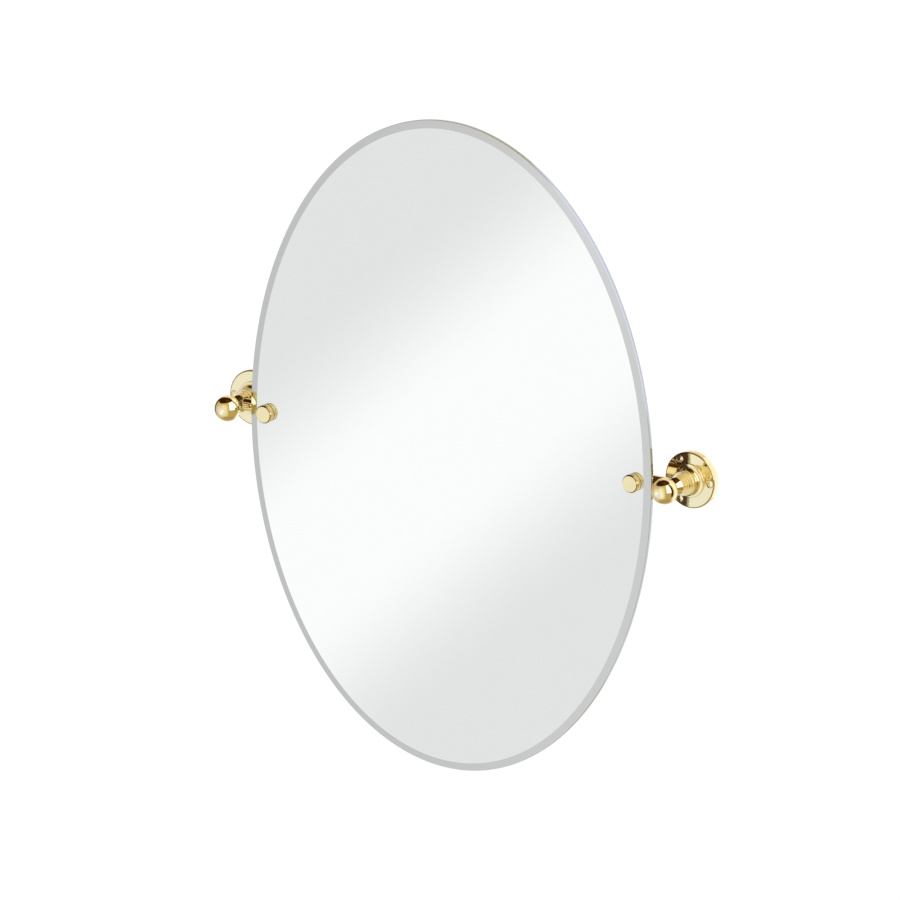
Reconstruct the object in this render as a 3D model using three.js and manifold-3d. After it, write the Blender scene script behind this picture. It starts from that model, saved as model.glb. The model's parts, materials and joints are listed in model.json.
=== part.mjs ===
// Oval pivot wall mirror: a frameless bevelled glass held at mid height by two turned brass brackets.
// The glass tilts about a level line through both posts. Millimetres: +X right, +Y into the wall, +Z up.
// The origin lies on the wall, midway between the brackets, level with the tilt axis.
import * as THREE from "three";
import { mergeVertices } from "three/addons/utils/BufferGeometryUtils.js";
import Module from "manifold-3d";

const wasm = await Module();
wasm.setup();

// ---- Driving dimensions ----
const GLASS_WIDTH = 500;
const GLASS_HEIGHT = 700;
const GLASS_THICKNESS = 5.7;
const BACKING_THICKNESS = 0.3;
const BEVEL_WIDTH = 8.5;
const BEVEL_DEPTH = 1.9;
const BACKING_INSET = 0.4; // of the paint from the edge of the glass

const POST_SPACING = 546; // between the two post axes
const CLAMP_SPACING = 458; // between the two holes in the glass
const WALL_TO_PIVOT = 31.5;
const PIVOT_TO_GLASS_FACE = 15.5;

const FLANGE_RADIUS = 30;
const FLANGE_THICKNESS = 8;
const FLANGE_EDGE = 1.4; // radius of the rounded front edge
const SCREWS_PER_FLANGE = 3;
const SCREW_CIRCLE_RADIUS = 24.2;

const FOOT_RADIUS = 18;
const BEAD_RADIUS = 13.6;
const STEP_RADII = [9.4, 10.5, 11.6, 12.7]; // turned steps behind the flared neck, from front to back
const FLARE_RADIUS = 9.1; // where the flare of the neck ends
const NECK_RADIUS = 5.2;
const NECK_FLAT = 5.3; // from the post axis to the spot faces for the arm
const SPIGOT_RADIUS = 7.9;
const SPIGOT_LENGTH = 3.5;

const BALL_RADIUS = 13.75;
const BALL_CENTRE = 23.7; // in front of the tilt axis
const BALL_SEAT = 11; // in front of the tilt axis, where the ball meets the neck

const ARM_RADIUS = 7;
const SPINDLE_RADIUS = 3;
const SPINDLE_GROOVE_RADIUS = 2.6;
const SPINDLE_GROOVE_HALF = 2.6; // half the width of the groove's floor
const SPINDLE_END = 4.2; // outboard of the post axis
const ARM_OVERHANG = 8.5; // of the arm past the clamp stud
const ARM_CHAMFER = 1.2;

const KNOB_RADIUS = 9.75;
const KNOB_LENGTH = 6.7;
const CLAMP_STUD_RADIUS = 2.85;
const GLASS_HOLE_RADIUS = 5;

const LIP = 0.1; // gap between parts that bear on each other
const FIT = 0.3; // gap between a part and the bore that it sits in
const RUNNING_FIT = 0.12; // gap round the spindle

const LARGE_STEPS = 36; // flats on a flange
const ROUND_STEPS = 28; // flats on a turned part
const SMALL_STEPS = 16; // flats on a screw, stud or washer
const OVAL_STEPS = 104;
const BALL_RINGS = 12;
const CORNER_STEPS = 3; // flats on a rounded edge
const TOOL_REACH = 5; // of a cutting tool past the faces that it cuts

// ---- Places that follow from them, seen from one post with +X outboard and the tilt axis at zero ----
const GLASS_FRONT = -PIVOT_TO_GLASS_FACE;
const GLASS_BACK = GLASS_FRONT + GLASS_THICKNESS;
const BACKING_BACK = GLASS_BACK + LIP + BACKING_THICKNESS;
const WALL = WALL_TO_PIVOT;
const FLANGE_FACE = WALL - FLANGE_THICKNESS;
const CLAMP_X = (CLAMP_SPACING - POST_SPACING) / 2;

// ---- Materials ----
const finish = (color, roughness, metalness) =>
  new THREE.MeshStandardMaterial({ color, roughness, metalness });
const polishedBrass = finish(0xd8b75a, 0.12, 1);
const steel = finish(0x9a9a98, 0.35, 1);
const mirrorGlass = finish(0xe4e8e8, 0.03, 0.9);
const backPaint = finish(0x453326, 0.6, 0);
const rubber = finish(0x2b2b2b, 0.85, 0);
const whiteNylon = finish(0xe9e7df, 0.5, 0);
const clearPlastic = finish(0xdfe3e2, 0.3, 0);

// ---- Shapes ----

// Points on an arc of a profile, given as [radius, y], from one angle in degrees to another.
function arc(centre, radius, from, to, steps) {
  const points = [];
  for (let i = 0; i <= steps; i += 1) {
    const angle = THREE.MathUtils.degToRad(from + ((to - from) * i) / steps);
    points.push([centre[0] + radius * Math.cos(angle), centre[1] + radius * Math.sin(angle)]);
  }
  return points;
}

// A turned part about the Y axis. Its profile is a list of [radius, y], along its outside with y rising.
function turned(profile, steps = ROUND_STEPS) {
  return new THREE.LatheGeometry(profile.map(([radius, y]) => new THREE.Vector2(radius, y)), steps);
}

// A plain cylinder about the Y axis.
const rod = (radius, from, to, steps = SMALL_STEPS) =>
  turned([[0, from], [radius, from], [radius, to], [0, to]], steps);

// A ring with a square section about the Y axis.
const ring = (inner, outer, from, to, steps = SMALL_STEPS) =>
  turned([[inner, from], [outer, from], [outer, to], [inner, to], [inner, from]], steps);

const alongX = (geometry) => geometry.rotateZ(-Math.PI / 2);

// A closed solid lofted through ovals, each [half width, half height, y], with y rising.
function oval(sections) {
  const positions = [0, sections[0][2], 0];
  for (const [halfWidth, halfHeight, y] of sections) {
    for (let i = 0; i < OVAL_STEPS; i += 1) {
      const angle = (2 * Math.PI * i) / OVAL_STEPS;
      positions.push(halfWidth * Math.cos(angle), y, halfHeight * Math.sin(angle));
    }
  }
  positions.push(0, sections.at(-1)[2], 0);
  const last = positions.length / 3 - 1;
  const faces = [];
  for (let i = 0; i < OVAL_STEPS; i += 1) {
    const here = 1 + i;
    const next = 1 + ((i + 1) % OVAL_STEPS);
    faces.push(0, here, next);
    for (let s = 0; s < sections.length - 1; s += 1) {
      const a = here + s * OVAL_STEPS;
      const b = next + s * OVAL_STEPS;
      faces.push(a, a + OVAL_STEPS, b, b, a + OVAL_STEPS, b + OVAL_STEPS);
    }
    const end = (sections.length - 1) * OVAL_STEPS;
    faces.push(last, next + end, here + end);
  }
  const geometry = new THREE.BufferGeometry();
  geometry.setAttribute("position", new THREE.Float32BufferAttribute(positions, 3));
  geometry.setIndex(faces);
  return geometry;
}

function toSolid(geometry) {
  const bare = geometry.clone();
  bare.deleteAttribute("normal");
  bare.deleteAttribute("uv");
  const merged = mergeVertices(bare, 1e-4);
  return new wasm.Manifold(
    new wasm.Mesh({
      numProp: 3,
      vertProperties: new Float32Array(merged.attributes.position.array),
      triVerts: new Uint32Array(merged.index.array),
    }),
  );
}

// A geometry with other geometries cut out of it.
function cut(body, ...tools) {
  let solid = toSolid(body);
  for (const tool of tools) {
    solid = solid.subtract(toSolid(tool));
  }
  const mesh = solid.getMesh();
  const geometry = new THREE.BufferGeometry();
  geometry.setAttribute("position", new THREE.BufferAttribute(mesh.vertProperties, 3));
  geometry.setIndex(new THREE.BufferAttribute(mesh.triVerts, 1));
  return geometry;
}

function mesh(name, geometry, material) {
  if (!geometry.attributes.normal) {
    geometry.computeVertexNormals();
  }
  const part = new THREE.Mesh(geometry, material);
  part.name = name;
  return part;
}

// ---- Wall flange and its screws ----

const FLANGE_BACK_CHAMFER = 0.5;
const HEAD_RADIUS = 4.1;
const HEAD_CONE = 2.3; // depth of the countersunk part of the head
const HEAD_DOME = 1.1; // height of the raised part of the head
const SHANK_RADIUS = 1.9;
const SCREW_LENGTH = 16; // from the flange face to the tip
const SCREW_POINT = 6; // length of the tapered tip
const SINK_START = 1; // in front of the flange, where the countersinking tool starts
const SLOT_WIDTH = 1;
const SLOT_DEPTH = 1.1;
const SLOT_ANGLES = [62, 118, 35]; // degrees, as the screws happened to stop

const POST_SCREW_RADIUS = 2.85;
const POST_SCREW_HEAD = 5.6;
const POST_SCREW_TIP = 4.8; // behind the tilt axis
const POST_SCREW_CHAMFER = 0.6;
const POST_SCREW_SLOT = 1.4;

// Screw places on the flange: the first is outboard, and the rest are evenly round from there.
function screwPlaces() {
  return SLOT_ANGLES.slice(0, SCREWS_PER_FLANGE).map((slot, i) => {
    const angle = (2 * Math.PI * i) / SCREWS_PER_FLANGE;
    return {
      x: SCREW_CIRCLE_RADIUS * Math.cos(angle),
      z: SCREW_CIRCLE_RADIUS * Math.sin(angle),
      slot: THREE.MathUtils.degToRad(slot),
    };
  });
}

function wallFlange() {
  const edgeCentre = [FLANGE_RADIUS - FLANGE_EDGE, FLANGE_FACE + FLANGE_EDGE];
  const edge = arc(edgeCentre, FLANGE_EDGE, -90, 0, CORNER_STEPS);
  const bore = SPIGOT_RADIUS + FIT;
  const web = FLANGE_FACE + SPIGOT_LENGTH + FIT;
  const hole = POST_SCREW_RADIUS + FIT;
  const sink = POST_SCREW_HEAD + 2 * FIT;
  const body = turned([
    [bore, FLANGE_FACE],
    ...edge,
    [FLANGE_RADIUS, WALL - FLANGE_BACK_CHAMFER],
    [FLANGE_RADIUS - FLANGE_BACK_CHAMFER, WALL],
    [sink, WALL],
    [hole, WALL - (sink - hole)],
    [hole, web],
    [bore, web],
    [bore, FLANGE_FACE],
  ], LARGE_STEPS);
  const holes = screwPlaces().map(({ x, z }) =>
    turned([
      [0, FLANGE_FACE - SINK_START],
      [HEAD_RADIUS + FIT + SINK_START, FLANGE_FACE - SINK_START],
      [SHANK_RADIUS + FIT, FLANGE_FACE + HEAD_CONE],
      [SHANK_RADIUS + FIT, WALL + TOOL_REACH],
      [0, WALL + TOOL_REACH],
    ], SMALL_STEPS).translate(x, 0, z));
  return cut(body, ...holes);
}

function wallScrew({ x, z, slot }) {
  const domeRadius = (HEAD_RADIUS ** 2 + HEAD_DOME ** 2) / (2 * HEAD_DOME);
  const domeHalf = THREE.MathUtils.radToDeg(Math.asin(HEAD_RADIUS / domeRadius));
  const domeCentre = [0, FLANGE_FACE - HEAD_DOME + domeRadius];
  const dome = arc(domeCentre, domeRadius, -90, -90 + domeHalf, CORNER_STEPS);
  const tip = FLANGE_FACE + SCREW_LENGTH;
  const screw = turned([
    [0, FLANGE_FACE - HEAD_DOME],
    ...dome.slice(1),
    [SHANK_RADIUS, FLANGE_FACE + HEAD_CONE],
    [SHANK_RADIUS, tip - SCREW_POINT],
    [0, tip],
  ], SMALL_STEPS);
  const blade = new THREE.BoxGeometry(HEAD_RADIUS * 3, SLOT_DEPTH * 2, SLOT_WIDTH);
  blade.translate(0, FLANGE_FACE - HEAD_DOME, 0).rotateY(slot);
  return cut(screw, blade).translate(x, 0, z);
}

// Screw from the back of the flange into the post.
function postScrew() {
  const cone = POST_SCREW_HEAD - POST_SCREW_RADIUS;
  const back = WALL - FIT;
  const screw = turned([
    [0, POST_SCREW_TIP],
    [POST_SCREW_RADIUS - POST_SCREW_CHAMFER, POST_SCREW_TIP],
    [POST_SCREW_RADIUS, POST_SCREW_TIP + POST_SCREW_CHAMFER],
    [POST_SCREW_RADIUS, back - cone],
    [POST_SCREW_HEAD, back],
    [0, back],
  ], SMALL_STEPS);
  const blade = new THREE.BoxGeometry(POST_SCREW_HEAD * 3, SLOT_DEPTH * 2, POST_SCREW_SLOT);
  return cut(screw, blade.translate(0, back, 0));
}

// ---- Turned post ----

const NECK_FRONT = -BALL_SEAT + LIP;
const NECK_BACK = -10;
const NECK_CHAMFER = 0.2;
const FLARE_END = -2.6;
const STEPS_START = -2.4;
const STEP_LENGTH = 3.3;
const BEAD_LENGTH = 3.2;
const BEAD_GAP = 0.1; // from the last step to the bead
const BEAD_CHAMFER = 0.7;
const COVE_RADIUS = 4.8;
const COVE_FRONT_RADIUS = 12.4; // from the post axis to the front of the cove
const FOOT_HEIGHT = 1.8;
const FOOT_CHAMFER = 0.7;
const GRUB_Y = 5.9; // behind the tilt axis
const GRUB_RADIUS = 1;
const GRUB_OUTER = 11.2; // from the post axis to its slotted end
const GRUB_SLOT_WIDTH = 0.4;
const GRUB_SLOT_DEPTH = 0.6;
const GRUB_BORE_START = 2; // from the post axis
const BORE_REACH = 20; // of the cross bores' tools from the post axis
const SPOT_FACE_MARGIN = 0.6; // of the spot face round the arm
const FINIAL_STUD_RADIUS = 2.3;

function postProfile() {
  const steps = STEP_RADII.flatMap((radius, i) => {
    const start = STEPS_START + i * STEP_LENGTH;
    return [[radius, start], [radius, start + STEP_LENGTH]];
  });
  const beadStart = STEPS_START + STEP_RADII.length * STEP_LENGTH + BEAD_GAP;
  const beadEnd = beadStart + BEAD_LENGTH;
  const bead = [
    [BEAD_RADIUS - BEAD_CHAMFER, beadStart],
    [BEAD_RADIUS, beadStart + BEAD_CHAMFER],
    [BEAD_RADIUS, beadEnd - BEAD_CHAMFER],
    [COVE_FRONT_RADIUS, beadEnd],
  ];
  const footStart = FLANGE_FACE - LIP - FOOT_HEIGHT;
  const coveCentre = [COVE_FRONT_RADIUS + COVE_RADIUS, footStart - COVE_RADIUS];
  const cove = arc(coveCentre, COVE_RADIUS, 180, 90, CORNER_STEPS);
  const foot = [
    [FOOT_RADIUS - FOOT_CHAMFER, footStart],
    [FOOT_RADIUS, footStart + FOOT_CHAMFER],
    [FOOT_RADIUS, FLANGE_FACE - LIP],
  ];
  const spigotEnd = FLANGE_FACE + SPIGOT_LENGTH;
  const tapped = POST_SCREW_RADIUS + FIT;
  const spigot = [
    [SPIGOT_RADIUS, FLANGE_FACE - LIP],
    [SPIGOT_RADIUS, spigotEnd],
    [tapped, spigotEnd],
    [tapped, POST_SCREW_TIP - FIT],
    [0, POST_SCREW_TIP - FIT],
  ];
  return [
    [0, NECK_FRONT],
    [NECK_RADIUS - NECK_CHAMFER, NECK_FRONT],
    [NECK_RADIUS, NECK_FRONT + NECK_CHAMFER],
    [NECK_RADIUS, NECK_BACK],
    [FLARE_RADIUS, FLARE_END],
    ...steps,
    ...bead,
    ...cove,
    ...foot,
    ...spigot,
  ];
}

function post() {
  const spindleBore = alongX(rod(SPINDLE_RADIUS + RUNNING_FIT, -BORE_REACH, SPINDLE_END + FIT));
  const finialBore = rod(FINIAL_STUD_RADIUS + FIT, NECK_FRONT - TOOL_REACH, 0);
  const grubBore = alongX(rod(GRUB_RADIUS + FIT, GRUB_BORE_START, BORE_REACH)).translate(0, GRUB_Y, 0);
  const spotFace = alongX(rod(ARM_RADIUS + SPOT_FACE_MARGIN, -BORE_REACH, -NECK_FLAT));
  return cut(turned(postProfile()), spindleBore, finialBore, grubBore, spotFace);
}

// Set screw on the outboard side of the post, which locks the post screw.
function grubScrew() {
  const inner = POST_SCREW_RADIUS + FIT;
  const screw = alongX(rod(GRUB_RADIUS, inner, GRUB_OUTER)).translate(0, GRUB_Y, 0);
  const blade = new THREE.BoxGeometry(GRUB_SLOT_DEPTH * 2, GRUB_SLOT_WIDTH, GRUB_RADIUS * 3);
  return cut(screw, blade.translate(GRUB_OUTER, GRUB_Y, 0));
}

// ---- Ball finial: its stud presses a pad on the spindle and sets how stiffly the mirror tilts ----

const FINIAL_STUD_DEPTH = 8; // into the ball
const PAD_THICKNESS = 2;

function finialBall() {
  const seatHalf = THREE.MathUtils.radToDeg(Math.acos((BALL_CENTRE - BALL_SEAT) / BALL_RADIUS));
  const bore = FINIAL_STUD_RADIUS + FIT;
  const boreEnd = -BALL_SEAT - FINIAL_STUD_DEPTH - FIT;
  const shell = arc([0, -BALL_CENTRE], BALL_RADIUS, -90, 90 - seatHalf, BALL_RINGS);
  return turned([
    [0, -BALL_CENTRE - BALL_RADIUS],
    ...shell.slice(1),
    [bore, -BALL_SEAT],
    [bore, boreEnd],
    [0, boreEnd],
  ]);
}

const PAD_BACK = -SPINDLE_GROOVE_RADIUS - LIP;
const PAD_FRONT = PAD_BACK - PAD_THICKNESS;

const finialStud = () => rod(FINIAL_STUD_RADIUS, -BALL_SEAT - FINIAL_STUD_DEPTH, PAD_FRONT - LIP);

const frictionPad = () => rod(FINIAL_STUD_RADIUS, PAD_FRONT, PAD_BACK);

// ---- Arm and the clamp that holds the glass ----

const THRUST_WASHER = 0.6;
const THRUST_WASHER_INSET = 0.6; // of its edge from the arm's
const CLAMP_PLATE = 1.6;
const CLAMP_PLATE_RADIUS = 10.5;
const REAR_WASHER = 1.5;
const REAR_WASHER_INSET = 0.5; // of its edge from the plate's
const FRONT_WASHER = 0.5;
const FRONT_WASHER_INSET = 0.6; // of its edge from the knob's
const STUD_THREAD_IN_ARM = 8;
const STUD_BORE = CLAMP_STUD_RADIUS + FIT;
const GROOVE_SLOPE = 0.3; // of the sides of the spindle's groove
const FLAT_MARGIN = 1; // of the arm's flat past the plate
const FLAT_TOOL = 60; // side of the block that cuts the flat
const KNOB_CHAMFER = 1;
const KNOB_CROWN = 2.5; // from the knob's face to the stud
const KNOB_GROOVE = 0.4;
const KNOB_GROOVE_Y = 2; // behind the knob's face
const KNOB_GROOVE_WIDTH = 0.6;

const ARM_END = -NECK_FLAT - THRUST_WASHER - 2 * LIP;
const REAR_WASHER_Y = BACKING_BACK + LIP;
const CLAMP_PLATE_Y = REAR_WASHER_Y + REAR_WASHER + LIP;
const ARM_FLAT_Y = CLAMP_PLATE_Y + CLAMP_PLATE + LIP;
const KNOB_BACK = GLASS_FRONT - FRONT_WASHER - 2 * LIP;
const KNOB_FACE = KNOB_BACK - KNOB_LENGTH;
const STUD_FRONT = KNOB_FACE + KNOB_CROWN;

const atClamp = (geometry) => geometry.translate(CLAMP_X, 0, 0);

// The arm lies along X. It has a grooved spindle at the post, and a flat and a tapped hole at the clamp.
function arm() {
  const inboard = CLAMP_X - ARM_OVERHANG;
  const bar = alongX(turned([
    [0, inboard],
    [ARM_RADIUS - ARM_CHAMFER, inboard],
    [ARM_RADIUS, inboard + ARM_CHAMFER],
    [ARM_RADIUS, ARM_END - ARM_CHAMFER],
    [ARM_RADIUS - ARM_CHAMFER, ARM_END],
    [SPINDLE_RADIUS, ARM_END],
    [SPINDLE_RADIUS, -SPINDLE_GROOVE_HALF - GROOVE_SLOPE],
    [SPINDLE_GROOVE_RADIUS, -SPINDLE_GROOVE_HALF],
    [SPINDLE_GROOVE_RADIUS, SPINDLE_GROOVE_HALF],
    [SPINDLE_RADIUS, SPINDLE_GROOVE_HALF + GROOVE_SLOPE],
    [SPINDLE_RADIUS, SPINDLE_END],
    [0, SPINDLE_END],
  ]));
  const flatEnd = CLAMP_X + CLAMP_PLATE_RADIUS + FLAT_MARGIN;
  const flat = new THREE.BoxGeometry(FLAT_TOOL, FLAT_TOOL, FLAT_TOOL);
  flat.translate(flatEnd - FLAT_TOOL / 2, ARM_FLAT_Y - FLAT_TOOL / 2, 0);
  const tapped = atClamp(rod(STUD_BORE, ARM_FLAT_Y - TOOL_REACH, ARM_FLAT_Y + STUD_THREAD_IN_ARM + FIT));
  return cut(bar, flat, tapped);
}

function thrustWasher() {
  const radius = ARM_RADIUS - THRUST_WASHER_INSET;
  return alongX(ring(SPINDLE_RADIUS + FIT, radius, ARM_END + LIP, -NECK_FLAT - LIP));
}

function clampPlate() {
  return atClamp(ring(STUD_BORE, CLAMP_PLATE_RADIUS, CLAMP_PLATE_Y, CLAMP_PLATE_Y + CLAMP_PLATE));
}

function rearWasher() {
  const radius = CLAMP_PLATE_RADIUS - REAR_WASHER_INSET;
  return atClamp(ring(STUD_BORE, radius, REAR_WASHER_Y, REAR_WASHER_Y + REAR_WASHER));
}

function glassSleeve() {
  return atClamp(ring(STUD_BORE, GLASS_HOLE_RADIUS - FIT, GLASS_FRONT + LIP, GLASS_BACK));
}

function frontWasher() {
  const radius = KNOB_RADIUS - FRONT_WASHER_INSET;
  return atClamp(ring(STUD_BORE, radius, GLASS_FRONT - LIP - FRONT_WASHER, GLASS_FRONT - LIP));
}

const clampStud = () => atClamp(rod(CLAMP_STUD_RADIUS, STUD_FRONT, ARM_FLAT_Y + STUD_THREAD_IN_ARM));

function knob() {
  const grooveY = KNOB_FACE + KNOB_GROOVE_Y;
  return atClamp(turned([
    [0, KNOB_FACE],
    [KNOB_RADIUS - KNOB_CHAMFER, KNOB_FACE],
    [KNOB_RADIUS, KNOB_FACE + KNOB_CHAMFER],
    [KNOB_RADIUS, grooveY],
    [KNOB_RADIUS - KNOB_GROOVE, grooveY + KNOB_GROOVE_WIDTH / 2],
    [KNOB_RADIUS, grooveY + KNOB_GROOVE_WIDTH],
    [KNOB_RADIUS, KNOB_BACK],
    [STUD_BORE, KNOB_BACK],
    [STUD_BORE, STUD_FRONT - FIT],
    [0, STUD_FRONT - FIT],
  ]));
}

// ---- Glass, with the tilt axis at zero ----

function holeTools() {
  return [-1, 1].map((sign) => {
    const tool = rod(GLASS_HOLE_RADIUS, GLASS_FRONT - TOOL_REACH, BACKING_BACK + TOOL_REACH);
    return tool.translate((sign * CLAMP_SPACING) / 2, 0, 0);
  });
}

function glassPane() {
  const halfWidth = GLASS_WIDTH / 2;
  const halfHeight = GLASS_HEIGHT / 2;
  return cut(oval([
    [halfWidth - BEVEL_WIDTH, halfHeight - BEVEL_WIDTH, GLASS_FRONT],
    [halfWidth, halfHeight, GLASS_FRONT + BEVEL_DEPTH],
    [halfWidth, halfHeight, GLASS_BACK],
  ]), ...holeTools());
}

function silverBacking() {
  const halfWidth = GLASS_WIDTH / 2 - BACKING_INSET;
  const halfHeight = GLASS_HEIGHT / 2 - BACKING_INSET;
  return cut(oval([
    [halfWidth, halfHeight, GLASS_BACK + LIP],
    [halfWidth, halfHeight, BACKING_BACK],
  ]), ...holeTools());
}

// ---- Assembly ----

function bracket(side) {
  const group = new THREE.Group();
  const add = (name, geometry, material) => group.add(mesh(`${name}_${side}`, geometry, material));
  add("wall_flange", wallFlange(), polishedBrass);
  screwPlaces().forEach((place, i) => add(`wall_screw_${i + 1}`, wallScrew(place), polishedBrass));
  add("post", post(), polishedBrass);
  add("post_screw", postScrew(), steel);
  add("post_grub_screw", grubScrew(), steel);
  add("finial_ball", finialBall(), polishedBrass);
  add("finial_stud", finialStud(), steel);
  add("friction_pad", frictionPad(), whiteNylon);
  return group;
}

function glassClamp(side) {
  const group = new THREE.Group();
  const add = (name, geometry, material) => group.add(mesh(`${name}_${side}`, geometry, material));
  add("arm", arm(), polishedBrass);
  add("thrust_washer", thrustWasher(), whiteNylon);
  add("clamp_plate", clampPlate(), polishedBrass);
  add("rear_washer", rearWasher(), rubber);
  add("glass_sleeve", glassSleeve(), clearPlastic);
  add("front_washer", frontWasher(), clearPlastic);
  add("clamp_stud", clampStud(), steel);
  add("clamp_knob", knob(), polishedBrass);
  return group;
}

// Each side is the mirror image of the other.
function atPost(group, sign) {
  group.position.x = (sign * POST_SPACING) / 2;
  group.scale.x = sign;
  return group;
}

const pivot = new THREE.Group();
pivot.position.y = -WALL_TO_PIVOT;
for (const [side, sign] of [["left", -1], ["right", 1]]) {
  pivot.add(atPost(bracket(side), sign));
  pivot.add(atPost(glassClamp(side), sign));
}
pivot.add(mesh("mirror_glass", glassPane(), mirrorGlass));
pivot.add(mesh("silver_backing", silverBacking(), backPaint));

const mirror = new THREE.Group();
mirror.add(pivot);

export default mirror;
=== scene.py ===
"""Oval pivot wall mirror: fine surfaces, finishes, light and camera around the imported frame.

Profiles are written in millimetres, seen from one bracket: x points outboard from the post's axis, y
points from the tilt axis towards the wall, and z points up. Each piece is put in its place in metres
when it is made.
"""

import json
import math

import bmesh
import bpy
from mathutils import Matrix, Vector


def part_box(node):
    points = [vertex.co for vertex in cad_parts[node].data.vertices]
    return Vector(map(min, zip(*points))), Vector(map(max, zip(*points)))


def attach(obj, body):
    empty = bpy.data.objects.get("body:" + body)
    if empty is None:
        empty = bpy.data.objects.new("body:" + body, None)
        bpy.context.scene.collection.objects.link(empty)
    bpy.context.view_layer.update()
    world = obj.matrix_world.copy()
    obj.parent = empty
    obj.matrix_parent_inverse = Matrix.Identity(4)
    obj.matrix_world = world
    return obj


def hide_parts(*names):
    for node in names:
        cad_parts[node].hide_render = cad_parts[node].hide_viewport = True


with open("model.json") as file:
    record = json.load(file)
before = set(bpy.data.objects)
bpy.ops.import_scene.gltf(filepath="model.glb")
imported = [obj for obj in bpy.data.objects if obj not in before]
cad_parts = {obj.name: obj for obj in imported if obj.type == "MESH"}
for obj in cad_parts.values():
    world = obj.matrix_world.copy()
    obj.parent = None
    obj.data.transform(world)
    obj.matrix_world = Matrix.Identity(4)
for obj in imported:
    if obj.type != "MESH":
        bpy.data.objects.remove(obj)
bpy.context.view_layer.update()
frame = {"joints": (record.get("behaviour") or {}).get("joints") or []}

MM = 0.001


# ---- Places and sizes read from the frame ----


def span(node, axis):
    """Lowest and highest coordinate of a CAD node along an axis, in millimetres."""
    low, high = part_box(node)
    index = "xyz".index(axis)
    return low[index] / MM, high[index] / MM


def middle(node, axis):
    low, high = span(node, axis)
    return (low + high) / 2


def half(node, axis):
    low, high = span(node, axis)
    return (high - low) / 2


PIVOT_Y = frame["joints"][0]["pos_m"][1] / MM
POST_X = middle("wall_flange_right", "x")


def depth(node):
    """Front and back of a node, measured from the tilt axis."""
    front, back = span(node, "y")
    return front - PIVOT_Y, back - PIVOT_Y


FLANGE_FACE, WALL = depth("wall_flange_right")
FLANGE_RADIUS = half("wall_flange_right", "z")
NECK_FRONT, SPIGOT_END = depth("post_right")
FOOT_RADIUS = half("post_right", "z")
BALL_RADIUS = half("finial_ball_right", "z")
BALL_FRONT, BALL_SEAT = depth("finial_ball_right")
BALL_CENTRE = BALL_FRONT + BALL_RADIUS
ARM_RADIUS = half("arm_right", "z")
ARM_INBOARD = span("arm_right", "x")[0] - POST_X
SPINDLE_END = span("arm_right", "x")[1] - POST_X
KNOB_RADIUS = half("clamp_knob_right", "z")
KNOB_FACE, KNOB_BACK = depth("clamp_knob_right")
CLAMP_X = middle("clamp_knob_right", "x") - POST_X
GLASS_HALF_WIDTH = half("mirror_glass", "x")
GLASS_HALF_HEIGHT = half("mirror_glass", "z")
GLASS_FRONT, GLASS_BACK = depth("mirror_glass")
BACKING_FRONT, BACKING_BACK = depth("silver_backing")

# ---- Sizes of the turned parts and the bevel ----

BEVEL_WIDTH = 8.5
BEVEL_DEPTH = 1.9
GLASS_CORNER = 0.35
GLASS_HOLE_RADIUS = 5.0
FLANGE_EDGE = 1.4
FLANGE_BACK_EDGE = 0.5
NECK_RADIUS = 5.2
NECK_BACK = -10.0
FLARE_RADIUS = 9.1
FLARE_END = -2.6  # just in front of the steps
STEP_RADII = (9.4, 10.5, 11.6, 12.7)
STEPS_START = -2.4
STEP_LENGTH = 3.3
STEP_TO_BEAD = 0.1
BEAD_RADIUS = 13.6
BEAD_LENGTH = 3.2
BEAD_ROUNDING = 0.8
BEAD_WAIST = 12.4
COVE_RADIUS = 4.8
FOOT_HEIGHT = 1.8
FOOT_ROUNDING = 0.7
SPIGOT_RADIUS = 7.9
SPINDLE_RADIUS = 3.0
SPINDLE_PLAY = 0.12
STUD_RADIUS = 2.85
FINIAL_STUD_RADIUS = 2.3
KNOB_CHAMFER = 1.25
FIT = 0.3  # room round a stud, a screw or a spigot
SEAT_GAP = 0.1  # between two faces that are clamped together
PAST = 1.0  # how far a cutter runs past the surface it cuts

ROUND_STEPS = 128
SMALL_STEPS = 64
SCREW_STEPS = 32
OVAL_STEPS = 512
BALL_STEPS = 64
COVE_STEPS = 14
ARC_STEP = 9.0  # degrees between the points of a rounded corner
ON_AXIS = 1e-6
SHARP_ANGLE = math.radians(32)
BEVEL_SHARP = math.radians(6)  # keeps the line between the flat face and the bevel crisp


# ---- Profiles and meshes ----


def rounded(corners):
    """A profile whose corners are (radius, y, rounding), with each rounding turned into an arc.

    The first and the last corner stay as they are.
    """
    points = []
    for i, (radius, y, rounding) in enumerate(corners):
        corner = Vector((radius, y))
        if not rounding or i in (0, len(corners) - 1):
            points.append(corner)
            continue
        before = (Vector(corners[i - 1][:2]) - corner).normalized()
        after = (Vector(corners[i + 1][:2]) - corner).normalized()
        opening = before.angle(after)
        reach = rounding / math.tan(opening / 2)
        centre = corner + (before + after).normalized() * rounding / math.sin(opening / 2)
        start = corner + before * reach - centre
        turn = start.angle_signed(corner + after * reach - centre)
        steps = max(2, math.ceil(abs(math.degrees(turn)) / ARC_STEP))
        for k in range(steps + 1):
            points.append(centre + Matrix.Rotation(-turn * k / steps, 2) @ start)
    return [(p.x, p.y) for p in points]


def arc(centre, radius, start, end, steps):
    """Points (radius, y) on an arc of a profile, from one angle in degrees to another."""
    angles = [math.radians(start + (end - start) * i / steps) for i in range(steps + 1)]
    return [(max(0.0, centre[0] + radius * math.cos(a)), centre[1] + radius * math.sin(a)) for a in angles]


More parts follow.
